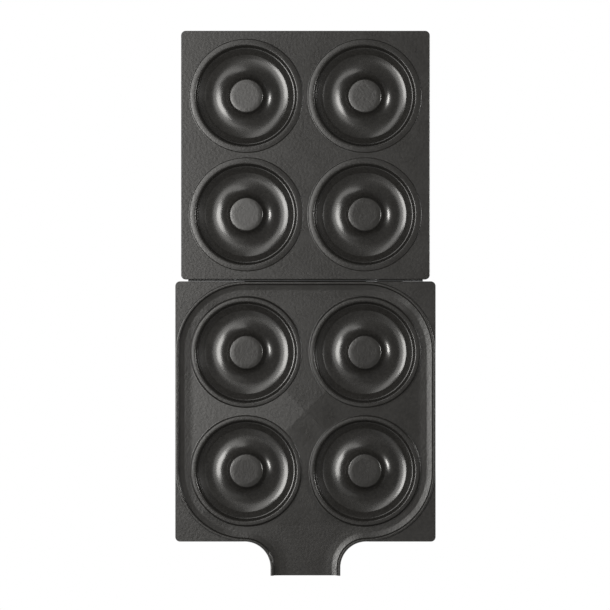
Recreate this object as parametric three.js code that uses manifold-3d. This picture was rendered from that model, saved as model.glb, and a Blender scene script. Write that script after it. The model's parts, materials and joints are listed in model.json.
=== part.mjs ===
// An electric donut maker, opened flat, with two lift-off plates of four ring cavities each.
// Millimetres, +Z up, front towards -Y. The origin is the middle of the rectangle it stands on.
// Base and lid are made in one "half" frame: its origin is under the plate's centre, its +Y points
// at the hinge, and both halves lie with their cooking faces up. The lid's frame is turned half a turn.

import * as THREE from 'three';
import { mergeVertices } from 'three/addons/utils/BufferGeometryUtils.js';
import Module from 'manifold-3d';

const wasm = await Module();
wasm.setup();

// ---------------------------------------------------------------- driving dimensions
const AXIS_Z = 62; // hinge axis, level with the plane where the two plates' lips meet
const EDGE_GAP = 0.8; // hinge axis to each plate's rear edge
const LOWER_SIDE = 230.8;
const UPPER_SIDE = 220.6;
const PLATE_CORNER = 4.2;
const FLANGE_TOP = AXIS_Z - 2;
const FLANGE_BOTTOM = 56;
const GAP = 0.3; // clearance between pieces that rest on each other

const CAVITY_OFFSET = 52.5; // cavity centres, from the plate's centre lines
const POST_RADIUS = 14.45;
const TROUGH_CENTRE = 29.85;
const TROUGH_HALF_WIDTH = 14.75;
const TROUGH_TOP = AXIS_Z - 1.3;
const TROUGH_DEPTH = 10.9;
const WALL = 3; // thickness of the cast cups
const LIP_INNER = 45.2;
const LIP_OUTER = 47.3;
const LIP_FOOT = 50.5;
const LIP_TOP = AXIS_Z - 0.15;
const CAVITY_SIDES = 18;

const RIB_TOP = AXIS_Z - 0.3;
const RIB_OUTER = 0.5; // the drip rib's outer face, in from the plate's edge
const RIB_CREST = 2.7; // its inner side falls from here
const RIB_FOOT = 7; // to here
const RIB_CORNER = 62.5;
const RIB_ARC_STEPS = 5;
const FLOOR_EDGE = AXIS_Z - 4.6; // the gutter inside the rib, and the floor's peak in the middle
const FLOOR_PEAK = AXIS_Z - 0.8;
const FLOOR_HALF = 101; // the four-sided rise starts here, on each side of the centre
const FLOOR_SINK = 0.1; // its foot reaches this far into the gutter's bed
const SPOUT_HALF_WIDTH = 31;
const SPOUT_REACH = 30.2;
const SPOUT_FLARE = 23;

const SHELL_INSET = 5; // shell's outer face, in from the plate's edge
const SHELL_WALL = 2.5;
const SHELL_CORNER = 8;
const SHELL_TOP = FLANGE_BOTTOM - 0.5;
const BASE_BOTTOM = 8;
const LID_BACK = 24;
const BOSS_INSET = 20; // boss centres, in from the shell's outer face
const REFLECTOR_Z = 36;
const HEATER_Z = 42;
const HEATER_RADIUS = 3.25;
const HEATER_HALF = 70;
const HEATER_END_X = 12;
const HEATER_BEND = 24;

const SKIRT_BOTTOM = 51.5;
const LUG_HALF = 12; // the hold-down lugs, half their length
const LUG_INSET = 12; // their middle, in from the shell's outer face
const LUG_BOTTOM = 43;
const CATCH_LOW = 46; // the catch's sliding plate and the hook's nose
const CATCH_HIGH = 48.5;
const BUTTON_PROUD = 3.3;

const HINGE_LENGTH = 208;
const KNUCKLES = 5;
const KNUCKLE_RADIUS = 0.75; // the plates lift off past the knuckles
const KNUCKLE_GAP = 0.4;
const PIN_RADIUS = 0.35;
const BORE_RADIUS = 0.43;
const LEAF = 0.45; // leaf thickness
const LEAF_NEAR = 0.12; // leaf's near face beside the pin, from the axis
const LEAF_FOOT = -(EDGE_GAP + SHELL_INSET - GAP - LEAF); // its near face beside the shell's wall
const FLAP_LENGTH = 108;
const HINGE_SCREW_X = 44;
const HINGE_SCREW_DROP = 17; // screws below the axis
const HINGE_SCREW_SEAT = LEAF_FOOT + 0.3; // their heads' undersides, from the axis

const LEAD_Z = 46;
const LEAD_BASE_X = 64;
const LEAD_LID_X = 90;
const LEAD_RADIUS = 2;

const HANDLE_Y = -76;
const HANDLE_DEPTH = 18;
const HANDLE_HALF = 62;
const HANDLE_LEG = 12;
const HANDLE_SCREW_X = HANDLE_HALF - HANDLE_LEG / 2;
const HANDLE_PAD_X = 48;
const LENS_X = 9;
const LENS_Y = -44;
const INLET_Y = 55;

const LOWER_REACH = EDGE_GAP + LOWER_SIDE / 2; // hinge axis to the plate's centre
const UPPER_REACH = EDGE_GAP + UPPER_SIDE / 2;
const FRONT = LOWER_REACH + LOWER_SIDE / 2 + SPOUT_REACH;
const BACK = UPPER_REACH + UPPER_SIDE / 2;
const HINGE_Y = (FRONT - BACK) / 2;
const BASE_HALF_WIDTH = LOWER_SIDE / 2 - SHELL_INSET;
const LID_HALF_WIDTH = UPPER_SIDE / 2 - SHELL_INSET;

// ---------------------------------------------------------------- materials
const finish = (color, roughness, metalness) =>
  new THREE.MeshStandardMaterial({ color, roughness, metalness });
const castPlate = finish(0x343332, 0.4, 0.3);
const shellPlastic = finish(0x262626, 0.6, 0);
const coverPlastic = finish(0x1c1c1c, 0.7, 0);
const brightSheet = finish(0xb9bcbe, 0.35, 1);
const heaterSteel = finish(0x6d6964, 0.45, 1);
const plainSteel = finish(0x9c9ea0, 0.35, 1);
const blackSteel = finish(0x1f1f1f, 0.45, 0.8);
const rubber = finish(0x151515, 0.9, 0);
const ceramic = finish(0xe6e0d2, 0.5, 0);
const brass = finish(0xb99b4c, 0.3, 1);
const silicone = finish(0x3d3d3f, 0.7, 0);
const redLens = finish(0xb01a14, 0.2, 0);
const greenLens = finish(0x1f9c3a, 0.2, 0);

// ---------------------------------------------------------------- solids
function closedMesh(geometry) {
  const bare = geometry.index ? geometry.toNonIndexed() : geometry.clone();
  bare.deleteAttribute('normal');
  bare.deleteAttribute('uv');
  const merged = mergeVertices(bare, 1e-4);
  const corners = merged.index.array;
  const point = (i) => new THREE.Vector3().fromBufferAttribute(merged.attributes.position, i);
  const kept = [];
  let volume = 0;
  for (let i = 0; i < corners.length; i += 3) {
    const [a, b, c] = corners.slice(i, i + 3);
    if (a === b || b === c || c === a) continue;
    kept.push(a, b, c);
    volume += point(a).dot(point(b).cross(point(c)));
  }
  const triVerts = new Uint32Array(volume < 0 ? kept.reverse() : kept);
  return new wasm.Mesh({ numProp: 3, vertProperties: merged.attributes.position.array, triVerts });
}

const solid = (geometry) => new wasm.Manifold(closedMesh(geometry));

const join = (...solids) => solids.reduce((sum, next) => sum.add(next));

const cut = (body, ...tools) => tools.reduce((rest, tool) => rest.subtract(tool), body);

function box([x0, x1], [y0, y1], [z0, z1]) {
  const geometry = new THREE.BoxGeometry(x1 - x0, y1 - y0, z1 - z0);
  geometry.translate((x0 + x1) / 2, (y0 + y1) / 2, (z0 + z1) / 2);
  return solid(geometry);
}

function prism(shape, low, high, arcSteps = 3) {
  const options = { depth: high - low, bevelEnabled: false, curveSegments: arcSteps };
  return solid(new THREE.ExtrudeGeometry(shape, options).translate(0, 0, low));
}

// A prism whose walls lean out by spread between low and high, and stand upright above.
function funnel(shape, low, high, spread, arcSteps) {
  const options = {
    depth: 5, curveSegments: arcSteps, bevelSegments: 1, bevelThickness: high - low, bevelSize: spread,
  };
  return solid(new THREE.ExtrudeGeometry(shape, options).translate(0, 0, high));
}

// An outline drawn in X and Z, swept along Y.
function prismAlongY(shape, near, far, arcSteps = 3) {
  const options = { depth: far - near, bevelEnabled: false, curveSegments: arcSteps };
  const geometry = new THREE.ExtrudeGeometry(shape, options);
  return solid(geometry.rotateX(Math.PI / 2).translate(0, far, 0));
}

// A profile of [radius, height] points turned about Z.
function turned(profile, sides) {
  const points = profile.map(([r, z]) => new THREE.Vector2(r, z));
  return solid(new THREE.LatheGeometry(points, sides).rotateX(Math.PI / 2));
}

const rod = (radius, low, high, sides) =>
  turned([[0, low], [radius, low], [radius, high], [0, high]], sides);

const alongX = (body) => body.rotate([0, 90, 0]);
const alongY = (body) => body.rotate([-90, 0, 0]);

// An arc is drawn with twice as many straight pieces as curveSegments says.
function tube(path, radius, steps, sides) {
  const section = new THREE.Shape().absarc(0, 0, radius, 0, 2 * Math.PI);
  const options = { extrudePath: path, steps, curveSegments: sides / 2, bevelEnabled: false };
  return solid(new THREE.ExtrudeGeometry(section, options));
}

function roundedRectangle(wide, long, corner) {
  const x = wide / 2 - corner;
  const y = long / 2 - corner;
  const quarter = Math.PI / 2;
  const shape = new THREE.Shape();
  shape.absarc(x, -y, corner, -quarter, 0);
  shape.absarc(x, y, corner, 0, quarter);
  shape.absarc(-x, y, corner, quarter, 2 * quarter);
  shape.absarc(-x, -y, corner, 2 * quarter, 3 * quarter);
  return shape;
}

function polygon(points) {
  return new THREE.Shape(points.map(([x, y]) => new THREE.Vector2(x, y)));
}

function screw(headRadius, headHeight, shaftRadius, length) {
  return turned([
    [0, -length], [shaftRadius * 0.5, -length], [shaftRadius, -length + shaftRadius], [shaftRadius, 0],
    [headRadius, 0], [headRadius, headHeight * 0.4], [headRadius * 0.7, headHeight], [0, headHeight],
  ], 8);
}

// ---------------------------------------------------------------- the object and its frames
const object = new THREE.Group();

const baseHalf = new THREE.Group();
baseHalf.position.y = HINGE_Y - LOWER_REACH;

const lidHalf = new THREE.Group();
lidHalf.position.y = HINGE_Y + UPPER_REACH;
lidHalf.rotation.z = Math.PI;

const baseHinge = new THREE.Group();
baseHinge.position.set(0, HINGE_Y, AXIS_Z);

const lidHinge = new THREE.Group();
lidHinge.position.set(0, HINGE_Y, AXIS_Z);
lidHinge.rotation.z = Math.PI;

object.add(baseHalf, lidHalf, baseHinge, lidHinge);

function place(parent, name, material, body, x = 0, y = 0, z = 0) {
  const { vertProperties, triVerts } = body.getMesh();
  const geometry = new THREE.BufferGeometry();
  geometry.setAttribute('position', new THREE.BufferAttribute(vertProperties, 3));
  geometry.setIndex(new THREE.BufferAttribute(triVerts, 1));
  geometry.computeVertexNormals();
  const mesh = new THREE.Mesh(geometry, material);
  mesh.name = name;
  mesh.position.set(x, y, z);
  parent.add(mesh);
}

const cornersOf = (offset) => [[-offset, -offset], [offset, -offset], [-offset, offset], [offset, offset]];

// ---------------------------------------------------------------- the cast plates
// One ring cavity, its centre post and its raised lip, down to the cup's underside.
function cavityCup(footZ) {
  const arc = (extra, steps, from, to) => Array.from({ length: steps + 1 }, (_, i) => {
    const angle = from + (to - from) * i / steps;
    const r = TROUGH_CENTRE + (TROUGH_HALF_WIDTH + extra) * Math.cos(angle);
    return [r, TROUGH_TOP + (TROUGH_DEPTH + extra) * Math.sin(angle)];
  });
  const underStart = Math.asin((FLANGE_BOTTOM - TROUGH_TOP) / (TROUGH_DEPTH + WALL));
  return turned([
    [0, AXIS_Z - 0.5], [POST_RADIUS, AXIS_Z - 0.5],
    ...arc(0, 6, Math.PI, 2 * Math.PI),
    [LIP_INNER, LIP_TOP], [LIP_OUTER, LIP_TOP], [LIP_FOOT, footZ], [LIP_FOOT, FLANGE_BOTTOM],
    ...arc(WALL, 4, underStart, -Math.PI - underStart),
    [TROUGH_CENTRE - TROUGH_HALF_WIDTH - WALL, FLANGE_BOTTOM + 1.5], [0, FLANGE_BOTTOM + 1.5],
  ], CAVITY_SIDES);
}

function withCavities(slab, footZ) {
  const cup = cavityCup(footZ);
  const clearing = rod(LIP_OUTER - 0.8, 40, 70, CAVITY_SIDES);
  return cornersOf(CAVITY_OFFSET).reduce(
    (plate, [x, y]) => plate.subtract(clearing.translate([x, y, 0])).add(cup.translate([x, y, 0])), slab);
}

// A lug under the plate with a notch on its +X side: the left one's faces in, the right one's out.
function holdDownLug(side, halfWidth) {
  const middle = side * (halfWidth - LUG_INSET);
  const stem = box([middle - 3, middle + 3], [-LUG_HALF, LUG_HALF], [LUG_BOTTOM, FLANGE_BOTTOM + 1]);
  const notchHeight = [CATCH_LOW - GAP, CATCH_HIGH + GAP];
  const notch = box([middle + 1, middle + 4], [-LUG_HALF - 1, LUG_HALF + 1], notchHeight);
  return cut(stem, notch);
}

function skirt(halfWidth) {
  const outer = 2 * (halfWidth - 4.5);
  const inner = outer - 5;
  return cut(
    prism(roundedRectangle(outer, outer, 6), SKIRT_BOTTOM, FLANGE_BOTTOM + 1),
    prism(roundedRectangle(inner, inner, 3.5), SKIRT_BOTTOM - 1, FLANGE_BOTTOM + 2),
  );
}

function upperPlate() {
  const slab = prism(roundedRectangle(UPPER_SIDE, UPPER_SIDE, PLATE_CORNER), FLANGE_BOTTOM, FLANGE_TOP);
  const body = withCavities(join(slab, skirt(LID_HALF_WIDTH)), FLANGE_TOP - 0.3);
  return join(body, holdDownLug(-1, LID_HALF_WIDTH), holdDownLug(1, LID_HALF_WIDTH));
}

// The drip rib's line, moved inwards by inset: round corners concentric with the cavities,
// which flow at the front into the spout's sides.
function ribOutline(inset, end) {
  const side = LOWER_SIDE / 2 - RIB_CORNER;
  const flareX = SPOUT_HALF_WIDTH + SPOUT_FLARE;
  const flareY = -side - Math.sqrt((RIB_CORNER + SPOUT_FLARE) ** 2 - (flareX - side) ** 2);
  const tangent = Math.atan2(flareY + side, flareX - side);
  const corner = RIB_CORNER - inset;
  const flare = SPOUT_FLARE + inset;
  const quarter = Math.PI / 2;
  const shape = new THREE.Shape();
  shape.moveTo(SPOUT_HALF_WIDTH - inset, end);
  shape.lineTo(SPOUT_HALF_WIDTH - inset, flareY);
  shape.absarc(flareX, flareY, flare, Math.PI, tangent + Math.PI, true);
  shape.absarc(side, -side, corner, tangent, 0);
  shape.absarc(side, side, corner, 0, quarter);
  shape.absarc(-side, side, corner, quarter, 2 * quarter);
  shape.absarc(-side, -side, corner, 2 * quarter, Math.PI - tangent);
  shape.absarc(-flareX, flareY, flare, -tangent, 0, true);
  shape.lineTo(inset - SPOUT_HALF_WIDTH, end);
  return shape;
}

function lowerPlateOutline(end) {
  const edge = LOWER_SIDE / 2;
  const inner = edge - PLATE_CORNER;
  const flareX = SPOUT_HALF_WIDTH + SPOUT_FLARE;
  const flareY = -edge - SPOUT_FLARE;
  const quarter = Math.PI / 2;
  const shape = new THREE.Shape();
  shape.moveTo(SPOUT_HALF_WIDTH, end);
  shape.lineTo(SPOUT_HALF_WIDTH, flareY);
  shape.absarc(flareX, flareY, SPOUT_FLARE, Math.PI, quarter, true);
  shape.absarc(inner, -inner, PLATE_CORNER, -quarter, 0);
  shape.absarc(inner, inner, PLATE_CORNER, 0, quarter);
  shape.absarc(-inner, inner, PLATE_CORNER, quarter, 2 * quarter);
  shape.absarc(-inner, -inner, PLATE_CORNER, 2 * quarter, 3 * quarter);
  shape.absarc(-flareX, flareY, SPOUT_FLARE, quarter, 0, true);
  shape.lineTo(-SPOUT_HALF_WIDTH, end);
  return shape;
}

// Four facets that rise to the middle of the plate.
function floorRise() {
  const rise = FLOOR_PEAK - FLOOR_EDGE;
  const reach = FLOOR_HALF * Math.SQRT2 * (1 + FLOOR_SINK / rise);
  const hip = new THREE.ConeGeometry(reach, rise + FLOOR_SINK, 4);
  hip.rotateX(Math.PI / 2);
  hip.rotateZ(Math.PI / 4);
  return solid(hip.translate(0, 0, FLOOR_PEAK - (rise + FLOOR_SINK) / 2));
}

function lowerPlate() {
  const end = -LOWER_SIDE / 2 - SPOUT_REACH;
  const underThickening = 1.5;
  const slab = join(
    prism(lowerPlateOutline(end), FLANGE_BOTTOM, FLANGE_TOP),
    prism(ribOutline(RIB_OUTER, end), FLANGE_BOTTOM, RIB_TOP, RIB_ARC_STEPS),
    prism(roundedRectangle(206, 206, 40), FLANGE_BOTTOM - underThickening, FLANGE_BOTTOM + 1),
  );
  const wallRun = RIB_FOOT - RIB_CREST;
  const pocket = funnel(ribOutline(RIB_FOOT, end - 8), FLOOR_EDGE, RIB_TOP, wallRun, RIB_ARC_STEPS);
  const floor = floorRise().intersect(prism(ribOutline(RIB_FOOT - 1.5, end), 50, 70, RIB_ARC_STEPS));
  const pan = withCavities(join(slab.subtract(pocket), floor, skirt(BASE_HALF_WIDTH)), FLOOR_EDGE - 0.1);
  return join(pan, holdDownLug(-1, BASE_HALF_WIDTH), holdDownLug(1, BASE_HALF_WIDTH));
}

place(baseHalf, 'lower_plate', castPlate, lowerPlate());
place(lidHalf, 'upper_plate', castPlate, upperPlate());

// ---------------------------------------------------------------- what the two halves share
// The channel that guides the catch's slider, on the -X wall, and the post behind its spring.
function catchChannel(halfWidth) {
  const wallX = -halfWidth + 1;
  const lipEnd = -halfWidth + 17;
  const postX = -halfWidth + 26;
  const railTop = CATCH_LOW - GAP;
  const sides = [-1, 1].flatMap((side) => {
    const band = (near, far) => (side < 0 ? [-far, -near] : [near, far]);
    return [
      box([wallX, postX + 1], band(14, 20.4), [41, railTop]),
      box([wallX, lipEnd], band(18.4, 20.4), [41, 50.8]),
      box([wallX, lipEnd], band(16, 20.4), [CATCH_HIGH + GAP, 50.8]),
    ];
  });
  const bar = box([postX, postX + 3], [-20.4, 20.4], [41, railTop]);
  const post = box([postX, postX + 3], [-6, 6], [41, 50]);
  return join(bar, post, ...sides);
}

const buttonSlot = (halfWidth) => box([-halfWidth - 1, -halfWidth + 4], [-11.4, 11.4], [43.1, 51.4]);

function shellWall(halfWidth, low, floorTop) {
  const outer = 2 * halfWidth;
  const inner = outer - 2 * SHELL_WALL;
  return cut(
    prism(roundedRectangle(outer, outer, SHELL_CORNER), low, SHELL_TOP),
    prism(roundedRectangle(inner, inner, SHELL_CORNER - SHELL_WALL), floorTop, SHELL_TOP + 1),
  );
}

// Four corner bosses, each tied to the side wall by a rib; the reflector rests on them.
function bosses(halfWidth, low) {
  const high = REFLECTOR_Z - GAP;
  return join(...cornersOf(halfWidth - BOSS_INSET).flatMap(([x, y]) => {
    const wall = Math.sign(x) * (halfWidth - 1);
    return [
      rod(5, low, high, 12).translate([x, y, 0]),
      box([Math.min(x, wall), Math.max(x, wall)], [y - 1, y + 1], [low, high]),
    ];
  }));
}

function catchSlider(halfWidth) {
  const head = box([-halfWidth - BUTTON_PROUD, -halfWidth + 3], [-11, 11], [43.5, 51]);
  const plate = box([-halfWidth + 2.8, -halfWidth + 17.5], [-18, 18], [CATCH_LOW, CATCH_HIGH]);
  const windowX = [-halfWidth + 5.7, -halfWidth + 13.3];
  const window = box(windowX, [-12.5, 12.5], [CATCH_LOW - 1, CATCH_HIGH + 1]);
  return cut(join(head, plate), window);
}

class Helix extends THREE.Curve {
  constructor(radius, length, turns) {
    super();
    Object.assign(this, { radius, length, turns });
  }

  getPoint(t, target = new THREE.Vector3()) {
    const angle = 2 * Math.PI * this.turns * t;
    return target.set(t * this.length, this.radius * Math.cos(angle), this.radius * Math.sin(angle));
  }
}

const catchSpring = () => tube(new Helix(2.1, 7.1, 4), 0.35, 32, 4);

function hookBracket(halfWidth) {
  return join(
    box([halfWidth - 5, halfWidth - 2.8], [-14, 14], [41, 50.5]),
    box([halfWidth - 10.6, halfWidth - 4], [-10, 10], [CATCH_LOW, CATCH_HIGH]),
  );
}

function reflector(halfWidth) {
  const outer = 2 * (halfWidth - 3);
  const tray = cut(
    prism(roundedRectangle(outer, outer, 5), REFLECTOR_Z, REFLECTOR_Z + 4),
    prism(roundedRectangle(outer - 2, outer - 2, 4), REFLECTOR_Z + 1, REFLECTOR_Z + 5),
  );
  const hole = rod(4.3, REFLECTOR_Z - 1, REFLECTOR_Z + 2, 12);
  const holes = [-1, 1].map((side) => hole.translate([side * HEATER_END_X, HEATER_HALF, 0]));
  return cut(tray, ...holes);
}

// A tube heater: one loop under the cavities, whose two ends turn down at the rear.
function heater() {
  const point = (x, y) => new THREE.Vector3(x, y, HEATER_Z);
  const half = HEATER_HALF;
  const flat = half - HEATER_BEND;
  const path = new THREE.CurvePath();
  path.add(new THREE.LineCurve3(point(-HEATER_END_X, half), point(-flat, half)));
  path.add(new THREE.QuadraticBezierCurve3(point(-flat, half), point(-half, half), point(-half, flat)));
  path.add(new THREE.LineCurve3(point(-half, flat), point(-half, -flat)));
  path.add(new THREE.QuadraticBezierCurve3(point(-half, -flat), point(-half, -half), point(-flat, -half)));
  path.add(new THREE.LineCurve3(point(-flat, -half), point(flat, -half)));
  path.add(new THREE.QuadraticBezierCurve3(point(flat, -half), point(half, -half), point(half, -flat)));
  path.add(new THREE.LineCurve3(point(half, -flat), point(half, flat)));
  path.add(new THREE.QuadraticBezierCurve3(point(half, flat), point(half, half), point(flat, half)));
  path.add(new THREE.LineCurve3(point(flat, half), point(HEATER_END_X, half)));
  const end = rod(HEATER_RADIUS, 27, HEATER_Z + HEATER_RADIUS, 8);
  return join(
    tube(path, HEATER_RADIUS, 44, 6),
    end.translate([-HEATER_END_X, half, 0]),
    end.translate([HEATER_END_X, half, 0]),
  );
}

// A strap bent over the heater tube, with a foot on each side.
function heaterStrap() {
  const inner = HEATER_RADIUS + GAP;
  const outer = inner + 1;
  const low = REFLECTOR_Z + 1 + GAP;
  const shape = new THREE.Shape();
  shape.moveTo(-10, low);
  shape.lineTo(-inner, low);
  shape.absarc(0, HEATER_Z, inner, Math.PI, 0, true);
  shape.lineTo(inner, low);
  shape.lineTo(10, low);
  shape.lineTo(10, low + 1);
  shape.lineTo(outer, low + 1);
  shape.absarc(0, HEATER_Z, outer, 0, Math.PI);
  shape.lineTo(-outer, low + 1);
  shape.lineTo(-10, low + 1);
  return prismAlongY(shape, -4.5, 4.5, 4);
}

function grommet(halfWidth, reach) {
  const face = reach - halfWidth; // the shell's rear face, from the hinge axis
  const outer = face - GAP - 1.2;
  const inner = face + SHELL_WALL + GAP + 1.2;
  const ring = turned([
    [2.7, outer], [5, outer], [5, outer + 1.2], [3.4, outer + 1.2],
    [3.4, inner - 1.2], [5, inner - 1.2], [5, inner], [2.7, inner], [2.7, outer],
  ], 10);
  return alongY(ring.mirror([0, 0, 1]));
}

// ---------------------------------------------------------------- the base
function baseHousing() {
  const half = BASE_HALF_WIDTH;
  const wall = shellWall(half, BASE_BOTTOM, BASE_BOTTOM - 1);
  const shell = join(wall, bosses(half, 10.8), catchChannel(half));
  const pilots = cornersOf(half - BOSS_INSET).map(([x, y]) => rod(1.9, 9, 26, 8).translate([x, y, 0]));
  const inletHole = box([half - 4, half + 1], [INLET_Y - 14.3, INLET_Y + 14.3], [11.7, 31.3]);
  const leadHole = alongY(rod(3.7, -2, 6, 12)).translate([LEAD_BASE_X, half - 4, LEAD_Z]);
  const hingeHoles = [-1, 0, 1].map((i) =>
    alongY(rod(1.5, -2, 6, 8)).translate([i * HINGE_SCREW_X, half - 4, AXIS_Z - HINGE_SCREW_DROP]));
  return cut(shell, buttonSlot(half), inletHole, leadHole, ...pilots, ...hingeHoles);
}

function bottomCover() {
  const side = 2 * (BASE_HALF_WIDTH - SHELL_WALL - GAP);
  const cover = prism(roundedRectangle(side, side, 5.2), BASE_BOTTOM, BASE_BOTTOM + 2.5);
  const screwHole = rod(2, 5, 15, 8);
  const holes = cornersOf(BASE_HALF_WIDTH - BOSS_INSET).map(([x, y]) => screwHole.translate([x, y, 0]));
  const vents = [-3, -2, -1, 0, 1, 2, 3].map((i) => box([i * 9 - 1.5, i * 9 + 1.5], [-20, 20], [5, 15]));
  return cut(cover, ...holes, ...vents);
}

const foot = () => turned([[2, 3], [4.2, 3], [4.2, 0], [8, 0], [9, 1], [9, 7.7], [2, 7.7], [2, 3]], 12);

function thermostat() {
  const low = REFLECTOR_Z + 1 + GAP;
  return turned([[0, low], [11, low], [11, 39], [8.5, 39], [8.5, 48], [6, 48], [6, 54.2], [0, 54.2]], 12);
}

function thermalFuse() {
  return alongX(turned([
    [0, -11], [0.6, -11], [0.6, -7], [2.2, -6], [2.2, 6], [0.6, 7], [0.6, 11], [0, 11],
  ], 10));
}

function terminalBlock() {
  const towers = [-9, 0, 9].map((y) => box([-9, 9], [y - 3, y + 3], [3, 12]));
  const screwHoles = [-9, 0, 9].flatMap((y) =>
    [-5, 5].map((x) => rod(1.8, 6, 13, 8).translate([x, y, 0])));
  return cut(join(box([-12, 12], [-13, 13], [0, 4]), ...towers), ...screwHoles);
}

const INLET_PINS = [
  ['inlet_pin_line', -7, 19.5],
  ['inlet_pin_neutral', 7, 19.5],
  ['inlet_pin_earth', 0, 23.5],
];

function powerInlet() {
  const wallX = BASE_HALF_WIDTH;
  const body = join(
    box([wallX - 20, wallX + 1], [-14, 14], [12, 31]),
    box([wallX + GAP, wallX + 1.8], [-16, 16], [10, 33]),
  );
  const socket = box([wallX - 17, wallX + 3], [-12, 12], [13.75, 29.25]);
  const slot = box([wallX - 21, wallX - 16], [-1.3, 1.3], [-2.3, 2.3]);
  const slots = INLET_PINS.map(([, y, z]) => slot.translate([0, y, z]));
  return cut(body, socket, ...slots);
}

const inletPin = () => box([-26, -2.5], [-1, 1], [-2, 2]);

place(baseHalf, 'base_housing', shellPlastic, baseHousing());
place(baseHalf, 'base_bottom_cover', coverPlastic, bottomCover());
place(baseHalf, 'base_reflector', brightSheet, reflector(BASE_HALF_WIDTH));
place(baseHalf, 'base_heater', heaterSteel, heater());
place(baseHalf, 'base_heater_strap_left', plainSteel, heaterStrap(), -HEATER_HALF);
place(baseHalf, 'base_heater_strap_right', plainSteel, heaterStrap(), HEATER_HALF);
place(baseHalf, 'base_thermostat', ceramic, thermostat());
place(baseHalf, 'base_thermal_fuse', plainSteel, thermalFuse(), 30, -30, 33.2);
place(baseHalf, 'base_catch_slider', shellPlastic, catchSlider(BASE_HALF_WIDTH));
place(baseHalf, 'base_catch_spring', plainSteel, catchSpring(), -BASE_HALF_WIDTH + 18.2, 0, 47.25);
place(baseHalf, 'base_hook_bracket', plainSteel, hookBracket(BASE_HALF_WIDTH));
place(baseHalf, 'terminal_block', ceramic, terminalBlock(), 68, INLET_Y, 10.8);
place(baseHalf, 'power_inlet', coverPlastic, powerInlet(), 0, INLET_Y);
INLET_PINS.forEach(([name, y, z]) =>
  place(baseHalf, name, brass, inletPin(), BASE_HALF_WIDTH, INLET_Y + y, z));

const footScrew = () => screw(3.6, 1.8, 1.6, 20).rotate([180, 0, 0]);

const BASE_CORNERS = ['front_left', 'front_right', 'rear_left', 'rear_right'];
cornersOf(BASE_HALF_WIDTH - BOSS_INSET).forEach(([x, y], i) => {
  place(baseHalf, `foot_${BASE_CORNERS[i]}`, rubber, foot(), x, y);
  place(baseHalf, `foot_screw_${BASE_CORNERS[i]}`, plainSteel, footScrew(), x, y, 2.7);
});

// ---------------------------------------------------------------- the lid
function lidHousing() {
  const half = LID_HALF_WIDTH;
  const backTop = LID_BACK + 2.5;
  const recess = [HANDLE_Y - 17, HANDLE_Y + 17];
  const shell = join(
    shellWall(half, LID_BACK, backTop), bosses(half, backTop - 1), catchChannel(half),
    box([-48.5, 48.5], [recess[0] - 2.5, recess[1] + 2.5], [LID_BACK, 34.5]),
  );
  const leadHole = alongY(rod(3.7, -2, 6, 12)).translate([-LEAD_LID_X, half - 4, LEAD_Z]);
  const hingeHoles = [-1, 0, 1].map((i) =>
    alongY(rod(1.5, -2, 6, 8)).translate([i * HINGE_SCREW_X, half - 4, AXIS_Z - HINGE_SCREW_DROP]));
  const lensHoles = [-1, 1].map((side) => rod(3.4, 20, 30, 12).translate([side * LENS_X, LENS_Y, 0]));
  const handleHoles = [-1, 1].map((side) =>
    rod(2, 20, 30, 8).translate([side * HANDLE_SCREW_X, HANDLE_Y, 0]));
  return cut(
    shell, box([-46, 46], recess, [LID_BACK - 1, 32]), buttonSlot(half), leadHole,
    ...hingeHoles, ...lensHoles, ...handleHoles,
  );
}

// A bridge: two legs on the lid's back and a bar between them, which the open lid stands on.
function lidHandle() {
  const top = LID_BACK - GAP;
  const inner = HANDLE_HALF - HANDLE_LEG;
  const shape = new THREE.Shape();
  shape.moveTo(-HANDLE_HALF, top);
  shape.lineTo(-HANDLE_HALF, 9);
  shape.absarc(-HANDLE_HALF + 7, 9, 7, Math.PI, 1.5 * Math.PI);
  shape.absarc(HANDLE_HALF - 7, 9, 7, -Math.PI / 2, 0);
  shape.lineTo(HANDLE_HALF, top);
  shape.lineTo(inner, top);
  shape.absarc(inner - 4, 15, 4, 0, -Math.PI / 2, true);
  shape.absarc(-inner + 4, 15, 4, -Math.PI / 2, -Math.PI, true);
  shape.lineTo(-inner, top);
  const bridge = prismAlongY(shape, -HANDLE_DEPTH / 2, HANDLE_DEPTH / 2);
  const padSeats = [-1, 1].map((side) => rod(6.3, 0, 3, 16).translate([side * HANDLE_PAD_X, 0, 0]));
  const screwHoles = [-1, 1].map((side) => rod(1.9, 12, 25, 8).translate([side * HANDLE_SCREW_X, 0, 0]));
  return cut(bridge, ...padSeats, ...screwHoles);
}

const handlePad = () => turned([[0, 0], [5.4, 0], [6, 0.6], [6, 2.7], [0, 2.7]], 16);

const lampLens = () => turned([[0, 0], [2.5, 0.1], [4, 0.7], [4, 1.2], [3, 1.2], [3, 5.5], [0, 5.5]], 10);

function thermalCutout() {
  const low = REFLECTOR_Z + 1 + GAP;
  return turned([[0, low], [9, low], [9, 38.8], [6.5, 38.8], [6.5, 47], [0, 47]], 14);
}

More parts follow.
